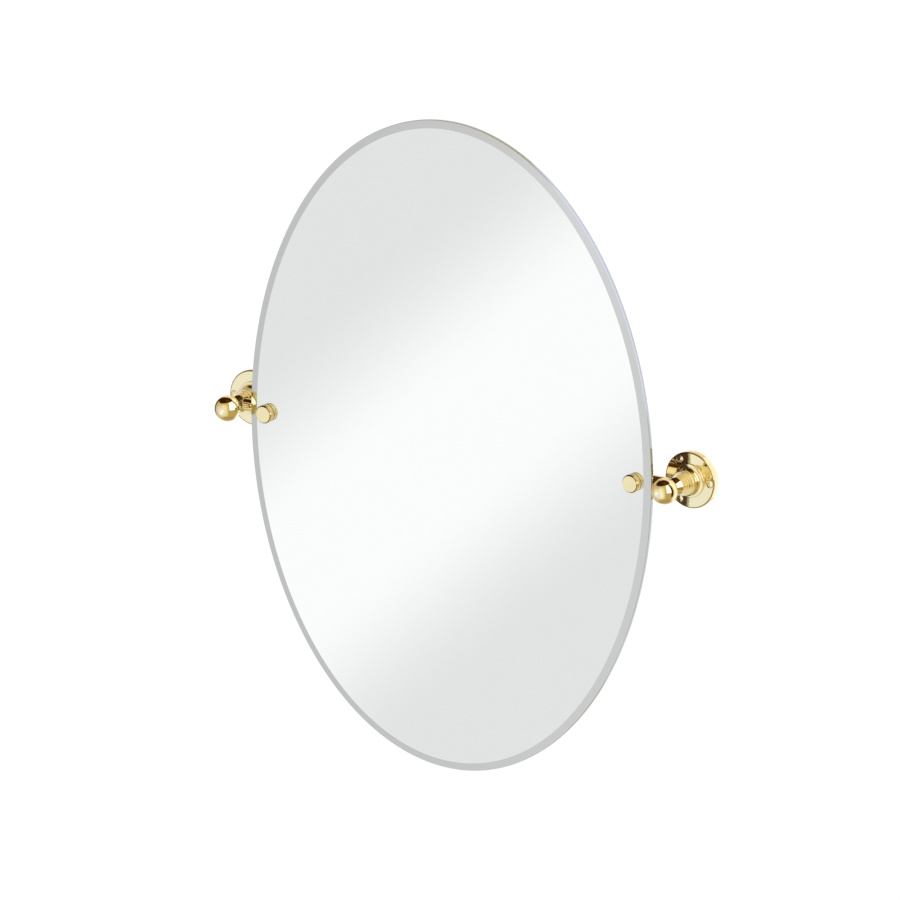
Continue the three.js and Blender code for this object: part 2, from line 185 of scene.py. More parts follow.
def turned(profile, steps=ROUND_STEPS, reach=lambda radius, y, angle: radius):
    """A mesh turned about Y. A profile that doesn't touch the axis is closed on itself.

    The reach gives a point's radius at an angle, for a surface that isn't round, such as a thread.
    """
    bm = bmesh.new()
    rings = []
    for radius, y in profile:
        if radius < ON_AXIS:
            rings.append([bm.verts.new((0, y, 0))])
            continue
        around = []
        for i in range(steps):
            angle = 2 * math.pi * i / steps
            r = reach(radius, y, angle)
            around.append(bm.verts.new((r * math.cos(angle), y, r * math.sin(angle))))
        rings.append(around)
    following = rings[1:] + ([rings[0]] if len(rings[0]) > 1 else [])
    for lower, upper in zip(rings, following):
        for i in range(steps):
            j = (i + 1) % steps
            corners = [
                lower[i % len(lower)],
                lower[j % len(lower)],
                upper[j % len(upper)],
                upper[i % len(upper)],
            ]
            bm.faces.new(list(dict.fromkeys(corners)))
    bmesh.ops.recalc_face_normals(bm, faces=bm.faces)
    return bm


def rod(radius, front, back, rounding=0.0):
    return turned(rounded([
        (0, front, 0),
        (radius, front, rounding),
        (radius, back, rounding),
        (0, back, 0),
    ]), SMALL_STEPS)


def ring(inner, outer, front, back, rounding=0.1):
    profile = rounded([
        ((inner + outer) / 2, front, 0),
        (outer, front, rounding),
        (outer, back, rounding),
        (inner, back, rounding),
        (inner, front, rounding),
        ((inner + outer) / 2, front, 0),
    ])
    return turned(profile[:-1], SMALL_STEPS)


def along_x(bm):
    """Turns a mesh that was made along Y, so that its back points outboard along X."""
    bmesh.ops.rotate(bm, verts=bm.verts, cent=(0, 0, 0), matrix=Matrix.Rotation(-math.pi / 2, 3, "Z"))
    return bm


def moved(bm, x=0.0, y=0.0, z=0.0):
    bmesh.ops.translate(bm, verts=bm.verts, vec=(x, y, z))
    return bm


def block(low, high, turn=0.0, at=(0, 0, 0)):
    """A cutting block between two corners, turned about Y, then moved."""
    bm = bmesh.new()
    size = Vector(high) - Vector(low)
    centre = (Vector(high) + Vector(low)) / 2
    spin = Matrix.Translation(at) @ Matrix.Rotation(turn, 4, "Y") @ Matrix.Translation(centre)
    bmesh.ops.create_cube(bm, matrix=spin @ Matrix.Diagonal((*size, 1)))
    return bm


def to_object(name, bm):
    mesh = bpy.data.meshes.new(name)
    bm.to_mesh(mesh)
    bm.free()
    made = bpy.data.objects.new(name, mesh)
    bpy.context.scene.collection.objects.link(made)
    return made


def apply_modifiers(piece):
    depsgraph = bpy.context.evaluated_depsgraph_get()
    old = piece.data
    piece.data = bpy.data.meshes.new_from_object(piece.evaluated_get(depsgraph), depsgraph=depsgraph)
    piece.data.name = piece.name
    piece.modifiers.clear()
    bpy.data.meshes.remove(old)


def cut(piece, tools):
    """Cuts each tool out of a piece, still in millimetres."""
    for tool in tools:
        cutter = to_object("cutter", tool)
        change = piece.modifiers.new("cut", "BOOLEAN")
        change.operation = "DIFFERENCE"
        change.solver = "EXACT"
        change.object = cutter
        apply_modifiers(piece)
        bpy.data.objects.remove(cutter)


def finished(piece, body, node, slot, *materials, sharp=SHARP_ANGLE):
    """Shades a piece, gives it its materials, ties it to its body and hides the node it replaces. The slot
    is not used.
    """
    piece.data.polygons.foreach_set("use_smooth", [True] * len(piece.data.polygons))
    piece.data.set_sharp_from_angle(angle=sharp)
    normals = piece.modifiers.new("normals", "WEIGHTED_NORMAL")
    normals.keep_sharp = True
    apply_modifiers(piece)
    piece.data.materials.clear()
    for material in materials:
        piece.data.materials.append(material)
    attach(piece, body)
    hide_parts(node)
    return piece


SIDES = {"left": -1, "right": 1}


def per_side(body, node, slot, material, make, tools=lambda: []):
    """Makes a piece of one bracket and its mirror image, each replacing its own node."""
    for side, sign in SIDES.items():
        piece = to_object(f"{node}_fine_{side}", make())
        cut(piece, tools())
        place = Matrix.Translation((sign * POST_X, PIVOT_Y, 0)) @ Matrix.Diagonal((sign, 1, 1, 1))
        piece.data.transform(Matrix.Scale(MM, 4) @ place)
        if sign < 0:
            piece.data.flip_normals()
        finished(piece, body, f"{node}_{side}", slot, material)


# ---- Node graphs ----


class Graph:
    """Adds linked nodes to one node tree. A value is a number, a colour or another node's output."""

    def __init__(self, tree):
        self.tree = tree
        tree.nodes.clear()

    def add(self, kind, inputs=None, **settings):
        made = self.tree.nodes.new(kind)
        for key, value in settings.items():
            setattr(made, key, value)
        for key, value in (inputs or {}).items():
            self.put(made.inputs[key], value)
        return made

    def put(self, socket, value):
        if isinstance(value, bpy.types.NodeSocket):
            self.tree.links.new(value, socket)
        else:
            socket.default_value = value

    def math(self, operation, *values):
        inputs = dict(enumerate(values))
        return self.add("ShaderNodeMath", inputs, operation=operation).outputs[0]

    def smooth(self, value, low, high, start=0.0, end=1.0):
        """Runs smoothly from start, where value is low, to end, where it is high."""
        inputs = {"Value": value, "From Min": low, "From Max": high, "To Min": start, "To Max": end}
        return self.add("ShaderNodeMapRange", inputs, interpolation_type="SMOOTHSTEP").outputs["Result"]

    def mix(self, factor, first, second):
        made = self.add("ShaderNodeMix", data_type="RGBA")
        self.put(made.inputs["Factor"], factor)
        for socket, value in zip([s for s in made.inputs if s.type == "RGBA"], (first, second)):
            self.put(socket, value)
        return next(s for s in made.outputs if s.type == "RGBA")

    def noise(self, vector, scale, detail=2.0, roughness=0.5):
        inputs = {"Vector": vector, "Scale": scale, "Detail": detail, "Roughness": roughness}
        return self.add("ShaderNodeTexNoise", inputs).outputs[0]

    def vector(self, x, y, z):
        return self.add("ShaderNodeCombineXYZ", {"X": x, "Y": y, "Z": z}).outputs[0]

    def split(self, vector):
        return self.add("ShaderNodeSeparateXYZ", {"Vector": vector}).outputs[:3]

    def place(self):
        return self.add("ShaderNodeTexCoord").outputs["Object"]

    def bump(self, height, distance):
        return self.add("ShaderNodeBump", {"Height": height, "Distance": distance}).outputs["Normal"]


def grey(value):
    return (value, value, value, 1)


def new_material(name, **constants):
    """A material with its shader's constant values set, and the graph that finishes it."""
    material = bpy.data.materials.new(name)
    material.use_nodes = True
    graph = Graph(material.node_tree)
    shader = graph.add("ShaderNodeBsdfPrincipled")
    for key, value in constants.items():
        shader.inputs[key.replace("_", " ")].default_value = value
    graph.add("ShaderNodeOutputMaterial", {"Surface": shader.outputs[0]})
    return material, graph, shader.inputs


# Paler colours for faces square to the wall: a painted highlight that stands in for their bright
# reflections
FLANGE_FACE_PAINTED_HIGHLIGHT = (0.985, 0.905, 0.61, 1)
KNOB_FACE_PAINTED_HIGHLIGHT = (0.92, 0.825, 0.49, 1)
BRASS = (0.86, 0.665, 0.215, 1)
BRASS_DEEP = (0.83, 0.62, 0.175, 1)
# painted dark reflection: the colour of a thin ring at a rounded turned edge
BRASS_PAINTED_DARK_REFLECTION = (0.36, 0.20, 0.035, 1)
LINE_CORE = 0.3  # the line has its full colour this near its middle
LINE_FADE = 0.55  # and none from here on
ROUGHNESS_SPREAD = 0.035
LATHE_MARK_SHARE = 0.01  # of the polished surface's slow waves


def brass(name, turned_along, face, centre_x=0.0, rough=0.05, line=None):
    """Polished, lacquered brass with fine marks of the lathe, which run round the part's own axis.

    Faces square to the wall get a paler colour than the sides: a painted highlight, standing in for the
    bright reflections that front faces catch. A line is the (radius, y) of a turned edge, where a thin
    darker ring is painted: a painted dark reflection of the edge's rounding.
    """
    material, graph, shader = new_material(name, Metallic=1.0, Coat_Weight=0.8, Coat_Roughness=0.03)
    place = graph.place()
    x, y, z = graph.split(place)
    outboard = graph.math("ABSOLUTE", x)
    if turned_along == "y":
        across = graph.math("SUBTRACT", outboard, centre_x * MM)
        along = y
    else:
        across = graph.math("SUBTRACT", y, PIVOT_Y * MM)
        along = outboard
    squares = [graph.math("MULTIPLY", value, value) for value in (across, z)]
    radius = graph.math("SQRT", graph.math("ADD", *squares))
    lathe = graph.vector(radius, along, 0.0)
    lines = graph.noise(lathe, scale=2600.0, detail=3.0, roughness=0.6)
    cloud = graph.noise(place, scale=95.0, detail=3.0, roughness=0.55)
    wave = graph.noise(place, scale=60.0, detail=1.0)
    facing = graph.math("ABSOLUTE", graph.split(graph.add("ShaderNodeTexCoord").outputs["Normal"])[1])
    sides = graph.mix(graph.smooth(cloud, low=0.35, high=0.7), BRASS, BRASS_DEEP)
    # painted highlight: faces square to the wall take the paler face colour
    colour = graph.mix(graph.smooth(facing, low=0.78, high=0.99), sides, face)
    # painted dark reflection: a thin darker ring where a turned edge rounds off
    if line:
        line_radius, line_y = line
        around = graph.math("ABSOLUTE", graph.math("SUBTRACT", radius, line_radius * MM))
        behind = graph.math("ABSOLUTE", graph.math("SUBTRACT", y, (PIVOT_Y + line_y) * MM))
        from_line = graph.math("MAXIMUM", around, behind)
        colour = graph.mix(graph.smooth(from_line, LINE_CORE * MM, LINE_FADE * MM), BRASS_PAINTED_DARK_REFLECTION, colour)
    graph.put(shader["Base Color"], colour)
    marks = graph.math("ADD", cloud, lines)
    worn = graph.smooth(marks, low=0.7, high=1.4, start=rough, end=rough + ROUGHNESS_SPREAD)
    graph.put(shader["Roughness"], worn)
    fine = graph.math("MULTIPLY", lines, LATHE_MARK_SHARE)
    graph.put(shader["Normal"], graph.bump(graph.math("ADD", wave, fine), distance=0.00003))
    return material


ZINC_DULL = (0.60, 0.60, 0.58, 1)
ZINC_BRIGHT = (0.72, 0.72, 0.70, 1)


def steel(name):
    """Bright zinc plate, faintly mottled."""
    material, graph, shader = new_material(name, Metallic=1.0)
    place = graph.place()
    grain = graph.noise(place, scale=900.0, detail=4.0, roughness=0.65)
    cloud = graph.noise(place, scale=160.0, detail=2.0)
    graph.put(shader["Base Color"], graph.mix(cloud, ZINC_DULL, ZINC_BRIGHT))
    graph.put(shader["Roughness"], graph.smooth(grain, low=0.3, high=0.7, start=0.22, end=0.38))
    graph.put(shader["Normal"], graph.bump(grain, distance=0.00002))
    return material


MIRROR_TINT = (0.885, 0.9, 0.897, 1)
MIRROR_TINT_SOFT = (0.875, 0.89, 0.888, 1)
# darker silver for the bevel: painted shade, standing in for the bevel's dimmer reflection
BEVEL_PAINTED_SHADE_TINT = (0.725, 0.74, 0.737, 1)
BEVEL_PAINTED_SHADE_TINT_SOFT = (0.715, 0.73, 0.728, 1)


def silvered(name, tint, soft_tint):
    """Silvered glass, with a faint haze as from wiping."""
    material, graph, shader = new_material(name, Metallic=1.0)
    place = graph.place()
    haze = graph.noise(place, scale=14.0, detail=5.0, roughness=0.6)
    graph.put(shader["Base Color"], graph.mix(haze, tint, soft_tint))
    graph.put(shader["Roughness"], graph.smooth(haze, low=0.45, high=0.75, start=0.012, end=0.03))
    return material


EDGE_DARK = (0.42, 0.405, 0.29, 1)
EDGE_LIGHT = (0.47, 0.455, 0.33, 1)


def glass_edge(name):
    """Ground and polished edge of the pane, an olive grey with fine grinding lines along it."""
    material, graph, shader = new_material(name, Metallic=0.9)
    x, y, z = graph.split(graph.place())
    lines = graph.noise(graph.vector(0.0, graph.math("MULTIPLY", y, 2200.0), 0.0), scale=1.0, detail=2.0)
    cloud = graph.noise(graph.vector(x, 0.0, z), scale=40.0, detail=3.0)
    graph.put(shader["Base Color"], graph.mix(cloud, EDGE_DARK, EDGE_LIGHT))
    graph.put(shader["Roughness"], graph.smooth(lines, low=0.3, high=0.7, start=0.05, end=0.14))
    graph.put(shader["Normal"], graph.bump(lines, distance=0.00001))
    return material


PAINT_DARK = (0.062, 0.026, 0.011, 1)
PAINT_LIGHT = (0.088, 0.038, 0.017, 1)


def back_paint(name):
    """Dark brown protective paint over the silver, rolled on and slightly pebbled."""
    material, graph, shader = new_material(name, Specular_IOR_Level=0.2)
    place = graph.place()
    pebble = graph.noise(place, scale=620.0, detail=3.0, roughness=0.6)
    cloud = graph.noise(place, scale=9.0, detail=4.0, roughness=0.6)
    graph.put(shader["Base Color"], graph.mix(cloud, PAINT_DARK, PAINT_LIGHT))
    graph.put(shader["Roughness"], graph.smooth(pebble, low=0.3, high=0.7, start=0.42, end=0.6))
    graph.put(shader["Normal"], graph.bump(pebble, distance=0.00008))
    return material


def rubber(name):
    """Matt black rubber with a fine grain."""
    material, graph, shader = new_material(name)
    grain = graph.noise(graph.place(), scale=1500.0, detail=3.0, roughness=0.7)
    graph.put(shader["Base Color"], graph.mix(grain, grey(0.012), grey(0.03)))
    graph.put(shader["Roughness"], graph.smooth(grain, low=0.3, high=0.7, start=0.7, end=0.9))
    graph.put(shader["Normal"], graph.bump(grain, distance=0.00003))
    return material


NYLON_DULL = (0.74, 0.73, 0.68, 1)
NYLON_BRIGHT = (0.80, 0.79, 0.74, 1)


def nylon(name):
    """Satin off-white nylon, which lets a little light in."""
    material, graph, shader = new_material(
        name, Subsurface_Weight=0.15, Subsurface_Radius=(0.001, 0.001, 0.0008)
    )
    grain = graph.noise(graph.place(), scale=1100.0, detail=2.0)
    graph.put(shader["Base Color"], graph.mix(grain, NYLON_DULL, NYLON_BRIGHT))
    graph.put(shader["Roughness"], graph.smooth(grain, low=0.3, high=0.7, start=0.38, end=0.5))
    return material


PLASTIC_DULL = (0.86, 0.87, 0.86, 1)
PLASTIC_CLEAR = (0.92, 0.93, 0.92, 1)


def clear_plastic(name):
    """Clear, slightly hazy plastic."""
    material, graph, shader = new_material(name, IOR=1.49, Transmission_Weight=0.6)
    grain = graph.noise(graph.place(), scale=700.0, detail=2.0)
    graph.put(shader["Base Color"], graph.mix(grain, PLASTIC_DULL, PLASTIC_CLEAR))
    graph.put(shader["Roughness"], graph.smooth(grain, low=0.3, high=0.7, start=0.12, end=0.22))
    return material


ARM_ROUGHNESS = 0.13
# where the painted dark reflection ring sits: at the flange's and the knob's rounded front edge
FLANGE_PAINTED_REFLECTION_RING = (FLANGE_RADIUS - 1.0, FLANGE_FACE + 0.1)
KNOB_PAINTED_REFLECTION_RING = (KNOB_RADIUS - 0.85, KNOB_FACE + 0.25)
POST_BRASS = brass("brass_turned_at_post", "y", FLANGE_FACE_PAINTED_HIGHLIGHT, POST_X, line=FLANGE_PAINTED_REFLECTION_RING)
KNOB_BRASS = brass("brass_turned_at_clamp", "y", KNOB_FACE_PAINTED_HIGHLIGHT, POST_X + CLAMP_X, line=KNOB_PAINTED_REFLECTION_RING)
ARM_BRASS = brass("brass_turned_along_arm", "x", KNOB_FACE_PAINTED_HIGHLIGHT, rough=ARM_ROUGHNESS)
STEEL = steel("zinc_plated_steel")
MIRROR_FACE = silvered("silvered_glass", MIRROR_TINT, MIRROR_TINT_SOFT)
# the bevel's silver is painted darker than the face's: painted shade
MIRROR_BEVEL_PAINTED_SHADE = silvered("silvered_bevel_painted_shade", BEVEL_PAINTED_SHADE_TINT, BEVEL_PAINTED_SHADE_TINT_SOFT)
GLASS_EDGE = glass_edge("ground_glass_edge")
BACK_PAINT = back_paint("mirror_back_paint")
RUBBER = rubber("black_rubber")
NYLON = nylon("white_nylon")
CLEAR = clear_plastic("clear_washer_plastic")


# ---- Wall flange and its screws ----

COUNTERSINK = 3.05  # depth and extra radius of the cone for the post screw's head


def flange():
    """The flange turned with its socket for the post and its hole for the post's screw."""
    bore = SPIGOT_RADIUS + FIT
    hole = STUD_RADIUS + FIT
    web = SPIGOT_END + FIT
    sink = hole + COUNTERSINK
    return turned(rounded([
        (bore, FLANGE_FACE, 0.15),
        (FLANGE_RADIUS, FLANGE_FACE, FLANGE_EDGE),
        (FLANGE_RADIUS, WALL, FLANGE_BACK_EDGE),
        (sink, WALL, 0.1),
        (hole, WALL - (sink - hole), 0.1),
        (hole, web, 0.1),
        (bore, web, 0.1),
        (bore, FLANGE_FACE, 0),
    ])[:-1])


SCREW_NODES = ("wall_screw_1", "wall_screw_2", "wall_screw_3")
SCREW_HEAD_RADIUS = half("wall_screw_1_right", "z")
SCREW_FRONT, SCREW_TIP = depth("wall_screw_1_right")
SCREW_DOME = FLANGE_FACE - SCREW_FRONT
SCREW_CONE = 2.3
SCREW_RADIUS = 1.9
SCREW_CORE = 1.25
SCREW_POINT = 6.0
SCREW_NECK = 4.5  # plain length under the head
SCREW_TIP_RADIUS = 0.3  # the point is plain within this radius
THREAD_PITCH = 1.9
THREAD_RIDGE = 0.28  # half the ridge's width, as a share of the pitch
THREAD_RUN_OUT = 2.0
DOME_STEPS = 8
ROWS_PER_PITCH = 10
POINT_ROWS = 24
SLOT_ANGLES = (62, 118, 35)


def screw_place(node):
    """Where a wall screw stands, as seen from its bracket's axis."""
    return middle(f"{node}_right", "x") - POST_X, middle(f"{node}_right", "z")


def countersinks():
    tools = []
    for node in SCREW_NODES:
        x, z = screw_place(node)
        clear = SCREW_RADIUS + FIT
        tool = turned([
            (0, FLANGE_FACE - PAST),
            (SCREW_HEAD_RADIUS + FIT + PAST, FLANGE_FACE - PAST),
            (clear, FLANGE_FACE + SCREW_CONE),
            (clear, WALL + PAST),
            (0, WALL + PAST),
        ], SMALL_STEPS)
        tools.append(moved(tool, x=x, z=z))
    return tools


def thread(radius, y, angle):
    """Radius of the screw's threaded shank at an angle: a helical ridge on a core, fading in after the
    plain neck and shrinking with the point.
    """
    start = FLANGE_FACE + SCREW_CONE + SCREW_NECK
    if y < start or radius < SCREW_TIP_RADIUS:
        return radius
    turn = (y / THREAD_PITCH - angle / (2 * math.pi)) % 1
    ridge = max(0.0, 1 - abs(turn - 0.5) / THREAD_RIDGE)
    run_out = min(1.0, (y - start) / THREAD_RUN_OUT)
    core = radius * SCREW_CORE / SCREW_RADIUS
    return radius + run_out * (core + (radius - core) * ridge - radius)


def wall_screw():
    """A wood screw with a domed head, a cone under it, a thread and a point."""
    dome_radius = (SCREW_HEAD_RADIUS ** 2 + SCREW_DOME ** 2) / (2 * SCREW_DOME)
    dome_half = math.degrees(math.asin(SCREW_HEAD_RADIUS / dome_radius))
    dome = arc((0, SCREW_FRONT + dome_radius), dome_radius, -90, -90 + dome_half, DOME_STEPS)
    shank_start = FLANGE_FACE + SCREW_CONE
    shank_end = SCREW_TIP - SCREW_POINT
    rows = math.ceil((shank_end - shank_start) / THREAD_PITCH * ROWS_PER_PITCH)
    shank = [(SCREW_RADIUS, shank_start + (shank_end - shank_start) * i / rows) for i in range(rows + 1)]
    point = [
        (SCREW_RADIUS * math.sqrt(1 - i / POINT_ROWS), shank_end + SCREW_POINT * i / POINT_ROWS)
        for i in range(1, POINT_ROWS + 1)
    ]
    return turned(dome + shank + point, SCREW_STEPS, thread)


def slot_cutter(radius, face, angle, x=0.0, z=0.0, width=1.0, deep=1.1):
    """Cuts a screwdriver slot across a head of this radius, as deep as said on both sides of its face."""
    reach = radius * 1.5
    low = (-reach, face - deep, -width / 2)
    high = (reach, face + deep, width / 2)
    return block(low, high, math.radians(angle), (x, 0, z))


def make_flanges():
    per_side("brackets", "wall_flange", "polished_brass", POST_BRASS, flange, countersinks)
    for node, angle in zip(SCREW_NODES, SLOT_ANGLES):
        x, z = screw_place(node)
        per_side(
            "brackets", node, "polished_brass", POST_BRASS,
            lambda: moved(wall_screw(), x=x, z=z),
            lambda: [slot_cutter(SCREW_HEAD_RADIUS, SCREW_FRONT, angle, x, z)],
        )


# ---- Turned post, the screw behind it and the set screw in its side ----

GRUB_Y = middle("post_grub_screw_right", "y") - PIVOT_Y
GRUB_INNER, GRUB_OUTER = (value - POST_X for value in span("post_grub_screw_right", "x"))
GRUB_RADIUS = half("post_grub_screw_right", "z")
POST_SCREW_TIP, POST_SCREW_BACK = depth("post_screw_right")
POST_SCREW_HEAD = half("post_screw_right", "z")
POST_SLOT_WIDTH = 1.4
POST_SLOT_ANGLE = 20
NECK_FLAT = 5.3  # from the post's axis to the flat that the arm's washer bears on
FLAT_MARGIN = 0.6  # how much wider than the arm that flat is
FLAT_DEPTH = 10
GRUB_HOLE_START = 2
GRUB_SLOT_HALF = 0.2
GRUB_SLOT_DEPTH = 0.6


def post():
    """The post turned in one profile: neck, flare, steps, bead, cove, foot and the spigot in the flange."""
    corners = []
    for i, radius in enumerate(STEP_RADII):
        start = STEPS_START + i * STEP_LENGTH
        corners += [(radius, start, 0.3), (radius, start + STEP_LENGTH, 0.12)]
    bead_start = STEPS_START + len(STEP_RADII) * STEP_LENGTH + STEP_TO_BEAD
    bead_end = bead_start + BEAD_LENGTH
    bead = [(BEAD_RADIUS, bead_start, BEAD_ROUNDING), (BEAD_RADIUS, bead_end, BEAD_ROUNDING)]
    foot_back = FLANGE_FACE - SEAT_GAP
    foot_start = foot_back - FOOT_HEIGHT
    cove = arc((BEAD_WAIST + COVE_RADIUS, foot_start - COVE_RADIUS), COVE_RADIUS, 180, 90, COVE_STEPS)
    tapped = STUD_RADIUS + FIT
    before = rounded([
        (0, NECK_FRONT, 0),
        (NECK_RADIUS, NECK_FRONT, 0.2),
        (NECK_RADIUS, NECK_BACK, 0.4),
        (FLARE_RADIUS, FLARE_END, 0.3),
        *corners,
        *bead,
        (BEAD_WAIST, bead_end, 0.3),
        (*cove[0], 0),
    ])[:-1]
    foot = rounded([
        (*cove[-1], 0),
        (FOOT_RADIUS, foot_start, FOOT_ROUNDING),
        (FOOT_RADIUS, foot_back, 0.15),
        (SPIGOT_RADIUS, foot_back, 0.1),
        (SPIGOT_RADIUS, SPIGOT_END, 0.3),
        (tapped, SPIGOT_END, 0.2),
        (tapped, POST_SCREW_TIP - FIT, 0),
        (0, POST_SCREW_TIP - FIT, 0),
    ])[1:]
    return turned(before + cove + foot)


def post_tools():
    """The post's cross bore for the spindle, its holes for the finial and the set screw, and its flat."""
    return [
        along_x(rod(SPINDLE_RADIUS + SPINDLE_PLAY, -FOOT_RADIUS - 2 * PAST, SPINDLE_END + FIT)),
        rod(FINIAL_STUD_RADIUS + FIT, NECK_FRONT - PAST, 0),
        moved(along_x(rod(GRUB_RADIUS + FIT, GRUB_HOLE_START, FOOT_RADIUS + 2 * PAST)), y=GRUB_Y),
        along_x(rod(ARM_RADIUS + FLAT_MARGIN, -NECK_FLAT - FLAT_DEPTH, -NECK_FLAT)),
    ]


def post_screw():
    cone = POST_SCREW_HEAD - STUD_RADIUS
    return turned(rounded([
        (0, POST_SCREW_TIP, 0),
        (STUD_RADIUS, POST_SCREW_TIP, 0.6),
        (STUD_RADIUS, POST_SCREW_BACK - cone, 0.2),
        (POST_SCREW_HEAD, POST_SCREW_BACK, 0.12),
        (0, POST_SCREW_BACK, 0),
    ]), SMALL_STEPS)


def grub_slot():
    low = (GRUB_OUTER - GRUB_SLOT_DEPTH, GRUB_Y - GRUB_SLOT_HALF, -GRUB_RADIUS - PAST)
    high = (GRUB_OUTER + GRUB_SLOT_DEPTH, GRUB_Y + GRUB_SLOT_HALF, GRUB_RADIUS + PAST)
    return block(low, high)


def make_posts():
    per_side("brackets", "post", "polished_brass", POST_BRASS, post, post_tools)
    per_side(
        "brackets", "post_screw", "steel", STEEL, post_screw,
        lambda: [slot_cutter(POST_SCREW_HEAD, POST_SCREW_BACK, POST_SLOT_ANGLE, width=POST_SLOT_WIDTH)],
    )
    per_side(
        "brackets", "post_grub_screw", "steel", STEEL,
        lambda: moved(along_x(rod(GRUB_RADIUS, GRUB_INNER, GRUB_OUTER, 0.15)), y=GRUB_Y),
        lambda: [grub_slot()],
    )


# ---- Ball finial ----


def ball():
    """The ball, cut flat where it meets the neck and drilled for its stud."""
    seat_half = math.degrees(math.acos((BALL_SEAT - BALL_CENTRE) / BALL_RADIUS))
    bore = FINIAL_STUD_RADIUS + FIT
    bore_end = depth("finial_stud_right")[0] - FIT
    shell = arc((0, BALL_CENTRE), BALL_RADIUS, -90, 90 - seat_half, BALL_STEPS)
    return turned(shell + [(bore, BALL_SEAT), (bore, bore_end), (0, bore_end)])


def make_finials():
    per_side("brackets", "finial_ball", "polished_brass", POST_BRASS, ball)
    per_side(
        "brackets", "finial_stud", "steel", STEEL,
        lambda: rod(FINIAL_STUD_RADIUS, *depth("finial_stud_right"), 0.3),
    )
    per_side(
        "brackets", "friction_pad", "white_nylon", NYLON,
        lambda: rod(FINIAL_STUD_RADIUS, *depth("friction_pad_right"), 0.2),
    )


# ---- Arm and glass clamp ----

ARM_END = -6.1  # the arm's shoulder, inboard of the post's axis
ARM_ROUNDING = 1.2
SHOULDER_ROUNDING = 0.72
GROOVE_RADIUS = 2.6
GROOVE_HALF = 2.6
GROOVE_SLOPE = 0.3
CLAMP_PLATE_RADIUS = half("clamp_plate_right", "z")
ARM_FLAT_Y = depth("clamp_plate_right")[1] + SEAT_GAP
ARM_FLAT_MARGIN = 1.0  # how far the flat runs outboard of the clamp plate
STUD_FRONT, STUD_BACK = depth("clamp_stud_right")
BORE = STUD_RADIUS + FIT
KNOB_GROOVE_Y = KNOB_FACE + 3.0
KNOB_GROOVE_DEPTH = 0.5
KNOB_GROOVE_HALF = 0.45


def arm():
    """The arm and its grooved spindle, turned along Y and then laid along X."""
    return along_x(turned(rounded([
        (0, ARM_INBOARD, 0),
        (ARM_RADIUS, ARM_INBOARD, ARM_ROUNDING),
        (ARM_RADIUS, ARM_END, SHOULDER_ROUNDING),
        (SPINDLE_RADIUS, ARM_END, 0.15),
        (SPINDLE_RADIUS, -GROOVE_HALF - GROOVE_SLOPE, 0.1),
        (GROOVE_RADIUS, -GROOVE_HALF, 0.1),
        (GROOVE_RADIUS, GROOVE_HALF, 0.1),
        (SPINDLE_RADIUS, GROOVE_HALF + GROOVE_SLOPE, 0.1),
        (SPINDLE_RADIUS, SPINDLE_END, 0.3),
        (0, SPINDLE_END, 0),
    ])))


def arm_tools():
    """The flat on the arm's front for the clamp plate, and the hole for the clamp stud."""
    flat_end = CLAMP_X + CLAMP_PLATE_RADIUS + ARM_FLAT_MARGIN
    return [
        block(
            (ARM_INBOARD - ARM_RADIUS, ARM_FLAT_Y - 2 * ARM_RADIUS, -2 * ARM_RADIUS),
            (flat_end, ARM_FLAT_Y, 2 * ARM_RADIUS),
        ),
        moved(rod(BORE, ARM_FLAT_Y - ARM_RADIUS, STUD_BACK + FIT), x=CLAMP_X),
    ]


def at_clamp(bm):
    return moved(bm, x=CLAMP_X)


def clamp_ring(node, slot, material, outer_rounding):
    per_side(
        "mirror", node, slot, material,
        lambda: at_clamp(ring(BORE, half(f"{node}_right", "z"), *depth(f"{node}_right"), outer_rounding)),
    )


def knob():
    """The round clamp knob, with a chamfered face, a groove round it and a blind hole for its stud."""
    return at_clamp(turned(rounded([
        (0, KNOB_FACE, 0),
        (KNOB_RADIUS - KNOB_CHAMFER, KNOB_FACE, 0.12),
        (KNOB_RADIUS, KNOB_FACE + KNOB_CHAMFER, 0.12),
        (KNOB_RADIUS, KNOB_GROOVE_Y - KNOB_GROOVE_HALF, 0.1),
        (KNOB_RADIUS - KNOB_GROOVE_DEPTH, KNOB_GROOVE_Y, 0.12),
        (KNOB_RADIUS, KNOB_GROOVE_Y + KNOB_GROOVE_HALF, 0.1),
        (KNOB_RADIUS, KNOB_BACK, 0.3),
        (BORE, KNOB_BACK, 0.2),
        (BORE, STUD_FRONT - FIT, 0),
        (0, STUD_FRONT - FIT, 0),
    ])))


def thrust_washer():
    inboard, outboard = (value - POST_X for value in span("thrust_washer_right", "x"))
    return along_x(ring(SPINDLE_RADIUS + FIT, half("thrust_washer_right", "z"), inboard, outboard))


def make_clamps():
    per_side("mirror", "arm", "polished_brass", ARM_BRASS, arm, arm_tools)
    per_side("mirror", "thrust_washer", "white_nylon", NYLON, thrust_washer)
    clamp_ring("clamp_plate", "polished_brass", KNOB_BRASS, 0.3)
    clamp_ring("rear_washer", "rubber", RUBBER, 0.4)
    clamp_ring("glass_sleeve", "clear_plastic", CLEAR, 0.2)
    clamp_ring("front_washer", "clear_plastic", CLEAR, 0.15)
    per_side(
        "mirror", "clamp_stud", "steel", STEEL,
        lambda: at_clamp(rod(STUD_RADIUS, STUD_FRONT, STUD_BACK, 0.4)),
    )
    per_side("mirror", "clamp_knob", "polished_brass", KNOB_BRASS, knob)


# ---- Glass and its backing ----

FLAT_NORMAL = 0.99  # a face turned further than this from the front is bevel or edge


